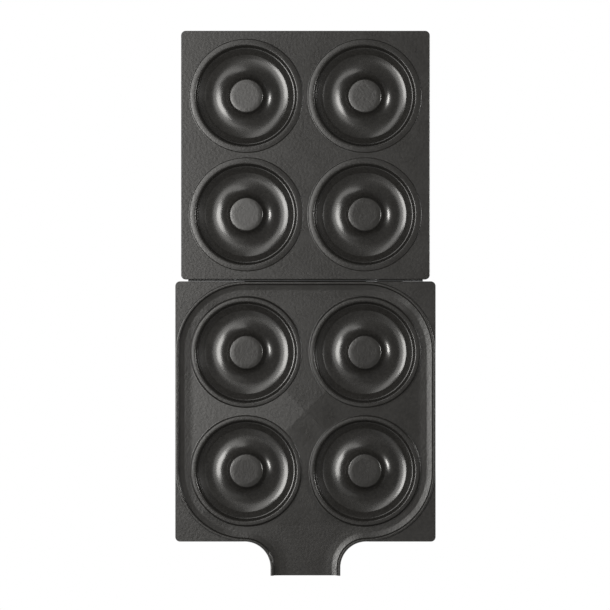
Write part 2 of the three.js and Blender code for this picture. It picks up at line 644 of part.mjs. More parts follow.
place(lidHalf, 'lid_housing', shellPlastic, lidHousing());
place(lidHalf, 'lid_reflector', brightSheet, reflector(LID_HALF_WIDTH));
place(lidHalf, 'lid_heater', heaterSteel, heater());
place(lidHalf, 'lid_heater_strap_left', plainSteel, heaterStrap(), HEATER_HALF);
place(lidHalf, 'lid_heater_strap_right', plainSteel, heaterStrap(), -HEATER_HALF);
place(lidHalf, 'lid_thermal_cutout', ceramic, thermalCutout());
place(lidHalf, 'lid_catch_slider', shellPlastic, catchSlider(LID_HALF_WIDTH));
place(lidHalf, 'lid_catch_spring', plainSteel, catchSpring(), -LID_HALF_WIDTH + 18.2, 0, 47.25);
place(lidHalf, 'lid_hook_bracket', plainSteel, hookBracket(LID_HALF_WIDTH));
place(lidHalf, 'lid_handle', shellPlastic, lidHandle(), 0, HANDLE_Y);
[['left', 1], ['right', -1]].forEach(([name, side]) => {
  const screwX = side * HANDLE_SCREW_X;
  place(lidHalf, `handle_screw_${name}`, plainSteel, screw(3.4, 1.8, 1.6, 13), screwX, HANDLE_Y, 26.8);
  place(lidHalf, `handle_pad_${name}`, rubber, handlePad(), side * HANDLE_PAD_X, HANDLE_Y);
});
place(lidHalf, 'power_lamp_lens', redLens, lampLens(), LENS_X, LENS_Y, LID_BACK - 1.5);
place(lidHalf, 'ready_lamp_lens', greenLens, lampLens(), -LENS_X, LENS_Y, LID_BACK - 1.5);

// ---------------------------------------------------------------- the hinge
// One leaf with its share of the knuckles; the leaf lies on the -Y side of the pin.
function hingeLeaf(ownKnuckles) {
  const near = -LEAF_NEAR;
  const far = near - LEAF;
  const wallNear = LEAF_FOOT;
  const wallFar = wallNear - LEAF;
  const bent = polygon([
    [near, 0], [near, -7], [wallNear, -11.5], [wallNear, -22],
    [wallFar, -22], [wallFar, -11.3], [far, -6.8], [far, 0],
  ]);
  const options = { depth: FLAP_LENGTH, bevelEnabled: false };
  const flap = new THREE.ExtrudeGeometry(bent, options);
  flap.rotateY(Math.PI / 2);
  flap.rotateX(Math.PI / 2);
  flap.translate(-FLAP_LENGTH / 2, 0, 0);
  const half = HINGE_LENGTH / 2;
  const pitch = HINGE_LENGTH / KNUCKLES;
  const start = (i) => -half + i * pitch + KNUCKLE_GAP / 2;
  const end = (i) => -half + (i + 1) * pitch - KNUCKLE_GAP / 2;
  const all = Array.from({ length: KNUCKLES }, (_, i) => i);
  const strip = box([-half, half], [far, near], [-8, 0]);
  const others = all.filter((i) => !ownKnuckles.includes(i)).map((i) =>
    box([start(i) - KNUCKLE_GAP, end(i) + KNUCKLE_GAP], [-3, 3], [-KNUCKLE_RADIUS - GAP, 3]));
  const knuckles = ownKnuckles.map((i) => alongX(rod(KNUCKLE_RADIUS, start(i), end(i), 16)));
  const screwHoles = [-1, 0, 1].map((i) =>
    alongY(rod(1.5, -8, 0, 8)).translate([i * HINGE_SCREW_X, 0, -HINGE_SCREW_DROP]));
  const leaf = cut(join(solid(flap), strip), ...others);
  return cut(join(leaf, ...knuckles), alongX(rod(BORE_RADIUS, -half - 1, half + 1, 12)), ...screwHoles);
}

const hingeScrew = () => alongY(screw(2.5, 1.2, 1.2, 8));

place(baseHinge, 'base_hinge_leaf', blackSteel, hingeLeaf([0, 2, 4]));
place(lidHinge, 'lid_hinge_leaf', blackSteel, hingeLeaf([1, 3]));
const hingePin = () => alongX(rod(PIN_RADIUS, -HINGE_LENGTH / 2, HINGE_LENGTH / 2, 12));

place(baseHinge, 'hinge_pin', blackSteel, hingePin());
[['left', -1], ['middle', 0], ['right', 1]].forEach(([name, i]) => {
  const x = i * HINGE_SCREW_X;
  const seat = [HINGE_SCREW_SEAT, -HINGE_SCREW_DROP];
  place(baseHinge, `base_hinge_screw_${name}`, plainSteel, hingeScrew(), x, ...seat);
  place(lidHinge, `lid_hinge_screw_${name}`, plainSteel, hingeScrew(), -x, ...seat);
});

// The lead that feeds the lid's heater, slack enough for the lid to swing over.
function jumperLead() {
  const route = [
    [LEAD_BASE_X, -12, LEAD_Z], [LEAD_BASE_X, -8, LEAD_Z], [LEAD_BASE_X, -4.4, LEAD_Z],
    [66, -1.9, 43.5], [71, -0.5, 39.5], [77, 0, 37.5], [83, 0.5, 39.5], [88, 1.9, 43.5],
    [LEAD_LID_X, 4.4, LEAD_Z], [LEAD_LID_X, 8, LEAD_Z], [LEAD_LID_X, 12, LEAD_Z],
  ];
  const path = new THREE.CatmullRomCurve3(route.map(([x, y, z]) => new THREE.Vector3(x, y, z - AXIS_Z)));
  return tube(path, LEAD_RADIUS, 26, 6);
}

place(baseHinge, 'jumper_lead', silicone, jumperLead());
const baseGrommet = grommet(BASE_HALF_WIDTH, LOWER_REACH);
const lidGrommet = grommet(LID_HALF_WIDTH, UPPER_REACH);
place(baseHinge, 'base_lead_grommet', rubber, baseGrommet, LEAD_BASE_X, 0, LEAD_Z - AXIS_Z);
place(lidHinge, 'lid_lead_grommet', rubber, lidGrommet, -LEAD_LID_X, 0, LEAD_Z - AXIS_Z);

export default object;
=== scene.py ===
"""Looks for an electric donut maker that lies opened flat: two cast plates on two hinged shells."""

import json
import math

import bmesh
import bpy
from mathutils import Matrix, Vector
from mathutils.geometry import delaunay_2d_cdt


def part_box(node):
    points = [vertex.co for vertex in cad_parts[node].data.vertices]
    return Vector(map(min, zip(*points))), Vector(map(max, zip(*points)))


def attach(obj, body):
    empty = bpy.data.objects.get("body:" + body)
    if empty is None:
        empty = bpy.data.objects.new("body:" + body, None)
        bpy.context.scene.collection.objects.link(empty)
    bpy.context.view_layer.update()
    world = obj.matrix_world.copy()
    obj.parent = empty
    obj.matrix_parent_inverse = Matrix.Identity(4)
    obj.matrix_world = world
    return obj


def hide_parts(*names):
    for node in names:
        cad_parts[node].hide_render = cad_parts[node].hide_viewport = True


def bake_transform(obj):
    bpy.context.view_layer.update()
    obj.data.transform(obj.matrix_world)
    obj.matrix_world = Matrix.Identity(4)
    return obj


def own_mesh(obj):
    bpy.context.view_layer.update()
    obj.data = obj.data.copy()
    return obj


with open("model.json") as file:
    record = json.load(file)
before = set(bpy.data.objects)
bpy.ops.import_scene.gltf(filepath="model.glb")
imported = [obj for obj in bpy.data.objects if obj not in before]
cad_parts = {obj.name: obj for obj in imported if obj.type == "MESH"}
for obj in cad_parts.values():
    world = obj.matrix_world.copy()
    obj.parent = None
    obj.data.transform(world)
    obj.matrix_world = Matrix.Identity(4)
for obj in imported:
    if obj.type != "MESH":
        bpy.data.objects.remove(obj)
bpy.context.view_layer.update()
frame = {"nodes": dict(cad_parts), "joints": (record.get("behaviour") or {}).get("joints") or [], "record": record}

# ------------------------------------------------------------------ places and sizes, in millimetres
MM = 0.001
HINGE = next(joint for joint in frame["joints"] if joint["type"] == "hinge")
AXIS = Vector(HINGE["pos_m"]) / MM
AXIS_Z = AXIS.z
BODY_OF = {
    node: body for body, nodes in frame["record"]["behaviour"]["bodies"].items() for node in nodes}
SLOT_OF = {part["node"]: part["material_slot"] for part in frame["record"]["subparts"]}


def box_mm(node):
    low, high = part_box(node)
    return Vector(low) / MM, Vector(high) / MM


UPPER_LOW, UPPER_HIGH = box_mm("upper_plate")
LOWER_LOW, LOWER_HIGH = box_mm("lower_plate")
UPPER_HALF = (UPPER_HIGH.x - UPPER_LOW.x) / 2
LOWER_HALF = (LOWER_HIGH.x - LOWER_LOW.x) / 2
SPOUT_END = -(LOWER_HIGH.y - LOWER_LOW.y - LOWER_HALF)  # from the lower plate's centre
BASE_CENTRE_Y = LOWER_HIGH.y - LOWER_HALF
LID_CENTRE_Y = UPPER_LOW.y + UPPER_HALF

WELD = 0.002  # points nearer than this become one
CREASE = 17  # degrees; a sharper edge on a casting is shaded sharp
PLATE_CORNER = 4.2
SHELL_HALF = {"base": LOWER_HALF - 5, "lid": UPPER_HALF - 5}

# The castings' heights are counted from the hinge axis, and the castings are drawn from their own middle.
FLANGE = -2.0
UNDERSIDE = -6.0
EDGE_CHAMFER = 0.4  # along the underside's edge
WALL = 3.0

# one cavity: radii from the post's middle
CAVITY_OFFSET = 52.5
CAVITY_STEPS = 160
POST_TOP = -0.5
POST_RADIUS = 15.0
POST_LEAN = -0.052  # slope of the tops of three of the upper plate's posts, in the lid's own frame
LEVEL_POST = (-CAVITY_OFFSET, CAVITY_OFFSET)
TROUGH_CENTRE = 29.85
TROUGH_HALF_WIDTH = 14.75
TROUGH_TOP = -1.3
TROUGH_DEPTH = 10.9
WALL_START = 37.05  # the trough's outer wall begins here
OUTER_WALL = [
    (37.1, -10.77), (38.8, -9.27), (40.5, -7.8), (42.2, -6.385), (42.8, -6.24), (43.3, -4.9), (43.8, -3.25),
    (44.25, -1.75),
]
LIP_TOP = -0.15
LIP_INNER = 45.6  # the lip's rounded inner edge ends here
LIP_CREST = 46.1
CROWN_CURVE = 0.031
CROWN_WIDTH = 2.2  # the lip's top curves down outwards over this width, then goes on as a cone
BRIM_LOWER = 48.15  # where the lip's top ends and its steep outer side begins
BRIM_UPPER = 49.8
BRIM_SLOPE = math.tan(math.radians(70))

# the lower plate's rib, gutter, facets and spout; insets are counted from the plate's edge
RIB_CORNER = 62.5
RIB_TOP = -0.3
WALL_TOE = 3.4  # the rib's steep inner face ends here
WALL_FOOT = 7.9
TOE_RISE = 0.95
TOE_POWER = 1.1
GUTTER_EDGE = 16.0  # where the flat facets begin
GUTTER_SLOPE = 0.05
GUTTER_BLEND = 4.0
FACET_EDGE = 101.0
FACET_PEAK = -0.8
FACET_FALL = 3.8
SPOUT_HALF_WIDTH = 31.0
SPOUT_FLARE = 23.0
SPOUT_SLOPE = 0.012

# under the plates: the skirt that drops inside the shell, and the two notched lugs that hold the plate down
SKIRT_OUTSIDE = 4.5  # in from the shell's outside
SKIRT_INSIDE = 7.0
SKIRT_FOOT = 51.5 - AXIS_Z
SKIRT_CHAMFER = 0.6
LUG_INSET = 12
LUG_HALF_LENGTH = 12
LUG_FOOT = 43 - AXIS_Z
NOTCH_LOW, NOTCH_HIGH = 45.7 - AXIS_Z, 48.8 - AXIS_Z

# small pieces
THREAD_PITCH = 0.9
HEAD_HEIGHT = 1.8  # of the feet's and the handle's screws
BUTTON_REACH = 3.3  # how far the ribs of a catch's button stand out of the shell
SPRING_INSET = 18.2
SPRING_LENGTH = 7.1
SPRING_RADIUS = 2.1
SPRING_WIRE = 0.35
SPRING_COILS = 5
SPRING_HEIGHT = 47.25
HEATER_REACH = 70
HEATER_BEND = 24
HEATER_ENDS = 12
HEATER_HEIGHT = 42
HEATER_FOOT = 27
HEATER_RADIUS = 3.25
LEAD_RADIUS = 2.0
LEAD_ROUTE = [  # Y is counted from the hinge axis
    (64, -12, 46), (64, -8, 46), (64, -4.4, 46), (66, -1.9, 43.5), (71, -0.5, 39.5), (77, 0, 37.5),
    (83, 0.5, 39.5), (88, 1.9, 43.5), (90, 4.4, 46), (90, 8, 46), (90, 12, 46),
]
LEAD_BEND = (66.0, -4.4), (84.3, 9.3)  # two places by the lead; they are read but nothing is bent between them

# light and camera, in metres
LIGHT_DISTANCE = 1.45
LIGHT_HEIGHT = 0.06  # of the points that the lights face
WARM_WHITE = (1.0, 0.985, 0.955)
SKY = 0.16
FOCAL = 200
SENSOR = 36
VIEW_WIDTH = 0.5409
VIEW_HEIGHT = 0.06
CAMERA_SHIFT = (-0.0004, -0.0016)


# ------------------------------------------------------------------ mesh making
class Surface:
    """Rows of points in millimetres, joined by faces, in one half's own frame."""

    def __init__(self):
        self.points = []
        self.faces = []
        self.flat = []
        self.slots = []
        self.slot = 0  # the material slot that new faces get

    def row(self, points):
        start = len(self.points)
        self.points.extend(points)
        return list(range(start, len(self.points)))

    def face(self, corners, flat=False):
        self.faces.append(corners)
        self.flat.append(flat)
        self.slots.append(self.slot)

    def strip(self, a, b, closed=False, flat=False):
        last = len(a) if closed else len(a) - 1
        for i in range(last):
            j = (i + 1) % len(a)
            self.face((a[i], a[j], b[j], b[i]), flat)

    def rows(self, rings, closed=True, flat=False):
        ids = [self.row(ring) for ring in rings]
        for a, b in zip(ids, ids[1:]):
            self.strip(a, b, closed, flat)
        return ids

    def fan(self, centre, ring, flat=False):
        middle = self.row([centre])[0]
        for i, a in enumerate(ring):
            self.face((middle, a, ring[(i + 1) % len(ring)]), flat)

    def fill(self, loops, height, extra=(), flat=True):
        """Fills the first loop, less the others. extra is a list of open polylines to keep as creases."""
        flat_points, edges, source = [], [], []
        for loop in loops:
            start = len(flat_points)
            for p in loop:
                flat_points.append(Vector((p[0], p[1])))
                source.append(p)
            edges += [(start + i, start + (i + 1) % len(loop)) for i in range(len(loop))]
        for line in extra:
            start = len(flat_points)
            for p in line:
                flat_points.append(Vector((p[0], p[1])))
                source.append((p[0], p[1], height(p[0], p[1])))
            edges += [(start + i, start + i + 1) for i in range(len(line) - 1)]
        verts, _, tris, origins, _, _ = delaunay_2d_cdt(flat_points, edges, [], 0, 1e-5)
        made = []
        for v, origin in zip(verts, origins):
            p = source[origin[0]] if origin else (v.x, v.y, height(v.x, v.y))
            made.append((p[0], p[1], p[2]))
        ids = self.row(made)
        for tri in tris:
            x = sum(verts[i].x for i in tri) / 3
            y = sum(verts[i].y for i in tri) / 3
            if inside(loops[0], x, y) and not any(inside(hole, x, y) for hole in loops[1:]):
                self.face(tuple(ids[i] for i in tri), flat)

    def make(self, name, place, crease=None):
        """Welds the rows into a mesh; edges sharper than crease, in degrees, are shaded sharp."""
        mesh = bpy.data.meshes.new(name)
        mesh.from_pydata(self.points, [], self.faces)
        mesh.polygons.foreach_set("use_smooth", [not f for f in self.flat])
        mesh.polygons.foreach_set("material_index", self.slots)
        shape = bmesh.new()
        shape.from_mesh(mesh)
        bmesh.ops.remove_doubles(shape, verts=shape.verts, dist=WELD)
        bmesh.ops.recalc_face_normals(shape, faces=shape.faces)
        shape.transform(Matrix.Scale(MM, 4) @ place)
        shape.to_mesh(mesh)
        shape.free()
        if crease:
            smooth = [face.use_smooth for face in mesh.polygons]
            mesh.set_sharp_from_angle(angle=math.radians(crease))
            mesh.polygons.foreach_set("use_smooth", smooth)
        return link(name, mesh)


def link(name, mesh):
    made = bpy.data.objects.new(name, mesh)
    bpy.context.scene.collection.objects.link(made)
    return made


def inside(loop, x, y):
    odd = False
    for (x0, y0, *_), (x1, y1, *_) in zip(loop, loop[1:] + loop[:1]):
        if (y0 > y) != (y1 > y) and x < (x1 - x0) * (y - y0) / (y1 - y0) + x0:
            odd = not odd
    return odd


BASE_PLACE = Matrix.Translation((0, BASE_CENTRE_Y, AXIS_Z))
LID_PLACE = Matrix.Translation((0, LID_CENTRE_Y, AXIS_Z)) @ Matrix.Rotation(math.pi, 4, "Z")


def arc(cx, cy, radius, start, end, steps):
    angles = [start + (end - start) * i / steps for i in range(steps + 1)]
    return [(cx + radius * math.cos(a), cy + radius * math.sin(a)) for a in angles]


def rounded_square(half_x, half_y, corner, z, steps=10):
    x, y = half_x - corner, half_y - corner
    quarter = math.pi / 2
    points = []
    for i, (cx, cy) in enumerate([(x, -y), (x, y), (-x, y), (-x, -y)]):
        points += arc(cx, cy, corner, (i - 1) * quarter, i * quarter, steps)
    return [(px, py, z) for px, py in points]


# ------------------------------------------------------------------ the cast plates
def cavity_profile():
    """Radius and height from the post's middle, down its wall, across the trough and up to the lip."""
    profile = [(4.0, POST_TOP), (10.0, POST_TOP), (POST_RADIUS - 1.1, POST_TOP)]
    profile += bezier(
        (POST_RADIUS - 0.95, POST_TOP - 0.04), (POST_RADIUS - 0.05, POST_TOP - 0.35),
        (POST_RADIUS + 0.1, POST_TOP - 1.2), 7)
    for i in range(2, 48):
        angle = math.pi + math.pi * i / 48
        r = TROUGH_CENTRE + TROUGH_HALF_WIDTH * math.cos(angle)
        if r < WALL_START:
            profile.append((r, TROUGH_TOP + TROUGH_DEPTH * math.sin(angle)))
    profile += OUTER_WALL
    profile += bezier((44.4, -1.25), (44.75, LIP_TOP), (LIP_INNER, LIP_TOP), 7)
    profile += [(LIP_CREST, LIP_TOP)]
    return profile


def bezier(a, b, c, steps):
    """Points along a curve from a to c that is drawn towards b."""
    points = []
    for i in range(steps + 1):
        t = i / steps
        parts = (1 - t) ** 2, 2 * t * (1 - t), t * t
        points.append(tuple(parts[0] * p + parts[1] * q + parts[2] * r for p, q, r in zip(a, b, c)))
    return points


def crown_height(r):
    """The lip's top, outwards from its crest."""
    out = r - LIP_CREST
    bend = min(out, CROWN_WIDTH)
    return LIP_TOP - CROWN_CURVE * bend * bend - 2 * CROWN_CURVE * CROWN_WIDTH * (out - bend)


def lip_outside(brim, floor, cx, cy, angle):
    """The lip's top and outer side at one angle, from its crest down to the floor."""
    ux, uy = math.cos(angle), math.sin(angle)

    def at(r):
        return floor(cx + r * ux, cy + r * uy)

    foot = brim
    for _ in range(8):
        foot = brim + (crown_height(brim) - at(foot)) / BRIM_SLOPE
    spread = min(0.5, 0.5 * (crown_height(brim) - at(foot)))
    count = 7
    top = [LIP_CREST + (brim - LIP_CREST) * i / count for i in range(1, count + 1)]
    line = [(r, crown_height(r)) for r in top]
    above = (foot - spread / BRIM_SLOPE, at(foot) + spread)
    line += bezier(above, (foot, at(foot)), (foot + 0.5, at(foot + 0.5)), 6)
    return [(cx + r * ux, cy + r * uy, z) for r, z in line]


def add_cavity(surface, cx, cy, brim, floor, lean=0.0):
    """Adds one post, trough and lip, and returns the loop where the lip meets the floor."""
    angles = [2 * math.pi * i / CAVITY_STEPS for i in range(CAVITY_STEPS)]
    profile = cavity_profile()
    rings = []
    for r, z in profile:
        slope = lean if r < POST_RADIUS + 0.1 and z > POST_TOP - 1 else 0.0
        leaning = [z + slope * r * math.cos(a) for a in angles]
        rings.append([(cx + r * math.cos(a), cy + r * math.sin(a), h) for a, h in zip(angles, leaning)])
    top = sum(1 for r, z in profile if r < POST_RADIUS and z > POST_TOP - 0.2)
    ids = surface.rows(rings[:top])
    surface.fan((cx, cy, POST_TOP), ids[0])
    surface.slot = 1
    surface.rows(rings[top - 1:])
    surface.slot = 0
    outside = [lip_outside(brim, floor, cx, cy, a) for a in angles]
    lip = [list(ring) for ring in zip(*outside)]
    surface.rows([rings[-1]] + lip)
    return lip[-1]


def cup_underside(surface, cx, cy):
    """Adds the underside of one cup and returns the loop where it leaves the plate's underside."""
    steps = 72
    across, depth = TROUGH_HALF_WIDTH + WALL, TROUGH_DEPTH + WALL
    start = math.asin((UNDERSIDE - TROUGH_TOP) / depth)
    profile = []
    for i in range(25):
        angle = start + (-math.pi - 2 * start) * i / 24
        profile.append((TROUGH_CENTRE + across * math.cos(angle), TROUGH_TOP + depth * math.sin(angle)))
    well = UNDERSIDE + 1.5  # the hollow under the post
    profile += [(TROUGH_CENTRE - across - 1, well), (3.0, well)]
    angles = [2 * math.pi * i / steps for i in range(steps)]
    rings = [[(cx + r * math.cos(a), cy + r * math.sin(a), z) for a in angles] for r, z in profile]
    ids = surface.rows(rings)
    surface.fan((cx, cy, well), ids[-1], flat=True)
    return rings[0]


def quadrants():
    return [(sx * CAVITY_OFFSET, sy * CAVITY_OFFSET) for sx in (-1, 1) for sy in (-1, 1)]


def add_skirt_and_lugs(surface, shell_half):
    """The rib under the plate that drops inside the shell, and the two notched hold-down lugs."""
    outer, inner = shell_half - SKIRT_OUTSIDE, shell_half - SKIRT_INSIDE
    high = UNDERSIDE + 0.8
    skirt = [
        (outer, 6, high), (outer, 6, SKIRT_FOOT + SKIRT_CHAMFER),
        (outer - SKIRT_CHAMFER, 5.4, SKIRT_FOOT), (inner + SKIRT_CHAMFER, 4.1, SKIRT_FOOT),
        (inner, 3.5, SKIRT_FOOT + SKIRT_CHAMFER), (inner, 3.5, high), (outer, 6, high),
    ]
    surface.rows([rounded_square(half, half, corner, z, 8) for half, corner, z in skirt])
    outline = [
        (-3, high), (-3, LUG_FOOT + 0.8), (-2.2, LUG_FOOT), (1.2, LUG_FOOT), (3, LUG_FOOT + 1.8),
        (3, NOTCH_LOW), (1, NOTCH_LOW), (1, NOTCH_HIGH), (3, NOTCH_HIGH), (3, high),
    ]
    for side in (-1, 1):
        middle = side * (shell_half - LUG_INSET)
        ends = [[(middle + x, y, z) for x, z in outline] for y in (-LUG_HALF_LENGTH, LUG_HALF_LENGTH)]
        ids = surface.rows([ends[0], ends[1]], flat=True)
        surface.face(tuple(reversed(ids[0])), True)
        surface.face(tuple(ids[1]), True)


def upper_plate():
    surface = Surface()

    def floor(x, y):
        return FLANGE

    feet = []
    for cx, cy in quadrants():
        lean = 0.0 if (cx, cy) == LEVEL_POST else POST_LEAN
        feet.append(add_cavity(surface, cx, cy, BRIM_UPPER, floor, lean))
    edge = 0.7
    half = UPPER_HALF
    rim = [rounded_square(half - edge, half - edge, PLATE_CORNER - edge, FLANGE)]
    for i in range(1, 6):
        angle = math.pi / 2 * (1 - i / 5)
        out = half - edge + edge * math.cos(angle)
        height = FLANGE - edge + edge * math.sin(angle)
        rim.append(rounded_square(out, out, PLATE_CORNER - half + out, height))
    rim.append(rounded_square(half, half, PLATE_CORNER, UNDERSIDE + EDGE_CHAMFER))
    inner = half - EDGE_CHAMFER
    rim.append(rounded_square(inner, inner, PLATE_CORNER - EDGE_CHAMFER, UNDERSIDE))
    surface.rows(rim)
    surface.fill([rim[0]] + feet, floor)
    cups = [cup_underside(surface, cx, cy) for cx, cy in quadrants()]
    surface.fill([rim[-1]] + cups, lambda x, y: UNDERSIDE)
    add_skirt_and_lugs(surface, SHELL_HALF["lid"])
    return surface.make("upper_plate_casting", LID_PLACE, CREASE)


def rib_stations():
    """Points on the lower plate's rib line with their inward directions, from the spout's right end round."""
    side = LOWER_HALF - RIB_CORNER
    flare_x = SPOUT_HALF_WIDTH + SPOUT_FLARE
    flare_y = -side - math.sqrt((RIB_CORNER + SPOUT_FLARE) ** 2 - (flare_x - side) ** 2)
    tangent = math.atan2(flare_y + side, flare_x - side)
    half_turn, quarter = math.pi, math.pi / 2
    stations = [((SPOUT_HALF_WIDTH, SPOUT_END), (-1, 0))]

    def bend(cx, cy, radius, start, end, steps, inward):
        for i in range(steps + 1):
            a = start + (end - start) * i / steps
            u = (math.cos(a), math.sin(a))
            stations.append(((cx + radius * u[0], cy + radius * u[1]), (inward * u[0], inward * u[1])))

    bend(flare_x, flare_y, SPOUT_FLARE, half_turn, half_turn + tangent, 36, 1)
    bend(side, -side, RIB_CORNER, tangent, -quarter / 2, 20, -1)
    bend(side, -side, RIB_CORNER, -quarter / 2, 0, 20, -1)
    bend(side, side, RIB_CORNER, 0, quarter, 40, -1)
    bend(-side, side, RIB_CORNER, quarter, 2 * quarter, 40, -1)
    bend(-side, -side, RIB_CORNER, 2 * quarter, 2.5 * quarter, 20, -1)
    bend(-side, -side, RIB_CORNER, 2.5 * quarter, half_turn - tangent, 20, -1)
    bend(-flare_x, flare_y, SPOUT_FLARE, -tangent, 0, 36, 1)
    stations.append(((-SPOUT_HALF_WIDTH, SPOUT_END), (1, 0)))
    return stations


def facet_height(x, y):
    """Four facets that fall from the middle, then the nearly level bed of the spout."""
    out = max(abs(x), abs(y))
    fall = FACET_FALL * min(out, FACET_EDGE) / FACET_EDGE
    return FACET_PEAK - fall - SPOUT_SLOPE * max(0, out - FACET_EDGE)


def gutter_rise(inset):
    """The gutter's bed rises a little towards the rib, and blends into the facets."""
    if inset >= GUTTER_EDGE:
        return 0.0
    if inset > GUTTER_EDGE - GUTTER_BLEND:
        return GUTTER_SLOPE * (GUTTER_EDGE - inset) ** 2 / (2 * GUTTER_BLEND)
    return GUTTER_SLOPE * (GUTTER_EDGE - GUTTER_BLEND / 2 - inset)


def rib_section():
    """Inset and height of the rib's cross-section; a height of None is worked out from the floor."""
    section = [(0.0, FLANGE), *bezier((0.1, -1.4), (0.2, RIB_TOP), (1.0, RIB_TOP), 8), (2.0, RIB_TOP)]
    section += [(2.2, -0.34), (2.38, -0.46), (2.52, -0.68)]
    section += [(WALL_TOE + (WALL_FOOT - WALL_TOE) * i / 9, None) for i in range(10)]
    section += [(d, None) for d in (8.5, 10.0, 11.5, 12.5, 13.5, 14.5, GUTTER_EDGE)]
    return section


def rib_height(inset, x, y):
    """Height inside the rib: a gentle slope from the toe of its steep face to the gutter, then the gutter."""
    floor = facet_height(x, y)
    if inset >= WALL_FOOT:
        return floor + gutter_rise(inset)
    foot = floor + gutter_rise(WALL_FOOT)
    return foot + TOE_RISE * ((WALL_FOOT - inset) / (WALL_FOOT - WALL_TOE)) ** TOE_POWER


def rib_rows():
    """The rib's cross-section carried along its line, one row of points for each inset."""
    stations = rib_stations()
    rows = []
    for inset, height in rib_section():
        row = []
        for (x, y), (nx, ny) in stations:
            px, py = x + nx * inset, y + ny * inset
            row.append((px, py, rib_height(inset, px, py) if height is None else height))
        rows.append(row)
    return rows


def add_facets(surface, gutter):
    """The four facets and the spout's bed inside the gutter's loop, round the four cavities."""
    feet = []
    creases = [[(x, -FACET_EDGE) for x in range(-36, 37, 6)]]
    for cx, cy in quadrants():
        feet.append(add_cavity(surface, cx, cy, BRIM_LOWER, facet_height))
        near = min(feet[-1], key=lambda p: p[0] ** 2 + p[1] ** 2)
        far = max(feet[-1], key=lambda p: p[0] ** 2 + p[1] ** 2)
        corner = min(gutter, key=lambda p: (p[0] - far[0]) ** 2 + (p[1] - far[1]) ** 2)
        creases += [[(0, 0), near[:2]], [far[:2], corner[:2]]]
    surface.fill([gutter] + feet, facet_height, creases)


def add_corner_flanges(surface, edge_row):
    """The flat corners outside the rib; returns the plate's outline, without the spout's end."""
    half = LOWER_HALF
    side = half - RIB_CORNER
    quarter = math.pi / 2
    flare = 40  # more points than either flare of the spout has
    outline = []
    for i, (sx, sy) in enumerate([(1, -1), (1, 1), (-1, 1), (-1, -1)]):
        centre = sx * (half - PLATE_CORNER), sy * (half - PLATE_CORNER)
        corner = arc(*centre, PLATE_CORNER, (i - 1) * quarter, i * quarter, 8)
        corner = [(x, y, FLANGE) for x, y in corner]
        rib_arc = [p for p in edge_row if sx * p[0] >= side - 0.01 and sy * p[1] >= side - 0.01]
        if sy < 0:
            rib_arc = [p for p in rib_arc if p[1] >= -half - 0.02]
        surface.fill([corner + list(reversed(rib_arc))], lambda x, y: FLANGE)
        if i == 0:
            outline += [p for p in edge_row[:flare] if p[1] < -half - 0.02]
        outline += [rib_arc[0]] + corner + [rib_arc[-1]]
    outline += [p for p in edge_row[-flare:] if p[1] < -half - 0.02]
    far_apart = [(Vector(p) - Vector(q)).length > 0.01 for p, q in zip(outline[1:], outline)]
    return outline[:1] + [p for p, apart in zip(outline[1:], far_apart) if apart]


def lower_plate():
    surface = Surface()
    rows = rib_rows()
    surface.rows(rows, closed=False)
    add_facets(surface, rows[-1])
    outline = add_corner_flanges(surface, rows[0])
    spout_end = [row[-1] for row in rows[1:]] + [row[0] for row in reversed(rows)][:-1]
    top = outline + spout_end
    edge = [(x, y, UNDERSIDE + EDGE_CHAMFER) for x, y, _ in top]
    shrink = 1 - EDGE_CHAMFER / LOWER_HALF
    bottom = [(x * shrink, y * shrink, UNDERSIDE) for x, y, _ in top]
    surface.rows([top, edge, bottom])
    cups = [cup_underside(surface, cx, cy) for cx, cy in quadrants()]
    surface.fill([bottom] + cups, lambda x, y: UNDERSIDE)
    add_skirt_and_lugs(surface, SHELL_HALF["base"])
    return surface.make("lower_plate_casting", BASE_PLACE, CREASE)


# ------------------------------------------------------------------ materials
def new_material(name):
    material = bpy.data.materials.new(name)
    material.use_nodes = True
    nodes, links = material.node_tree.nodes, material.node_tree.links
    return material, nodes, links, nodes["Principled BSDF"]


def noise(nodes, links, scale, detail, stretch=(1, 1, 1)):
    """A noise over the piece's own coordinates, drawn out where stretch is below 1."""
    place = nodes.new("ShaderNodeTexCoord")
    spread = nodes.new("ShaderNodeMapping")
    spread.inputs["Scale"].default_value = stretch
    made = nodes.new("ShaderNodeTexNoise")
    made.inputs["Scale"].default_value = scale
    made.inputs["Detail"].default_value = detail
    links.new(place.outputs["Object"], spread.inputs["Vector"])
    links.new(spread.outputs["Vector"], made.inputs["Vector"])
    return made.outputs["Fac"]


def add_bump(nodes, links, shader, height, strength, depth):
    bump = nodes.new("ShaderNodeBump")
    bump.inputs["Strength"].default_value = strength
    bump.inputs["Distance"].default_value = depth
    links.new(height, bump.inputs["Height"])
    links.new(bump.outputs["Normal"], shader.inputs["Normal"])


def add_tone(nodes, links, shader, factor, dark, light):
    tone = nodes.new("ShaderNodeValToRGB")
    tone.color_ramp.elements[0].position = 0.3
    tone.color_ramp.elements[0].color = (*dark, 1)
    tone.color_ramp.elements[1].position = 0.7
    tone.color_ramp.elements[1].color = (*light, 1)
    links.new(factor, tone.inputs["Fac"])
    links.new(tone.outputs["Color"], shader.inputs["Base Color"])


def add_roughness(nodes, links, shader, factor, low, high):
    rough = nodes.new("ShaderNodeMapRange")
    rough.inputs["From Min"].default_value = 0.3
    rough.inputs["From Max"].default_value = 0.7
    rough.inputs["To Min"].default_value = low
    rough.inputs["To Max"].default_value = high
    links.new(factor, rough.inputs["Value"])
    links.new(rough.outputs["Result"], shader.inputs["Roughness"])


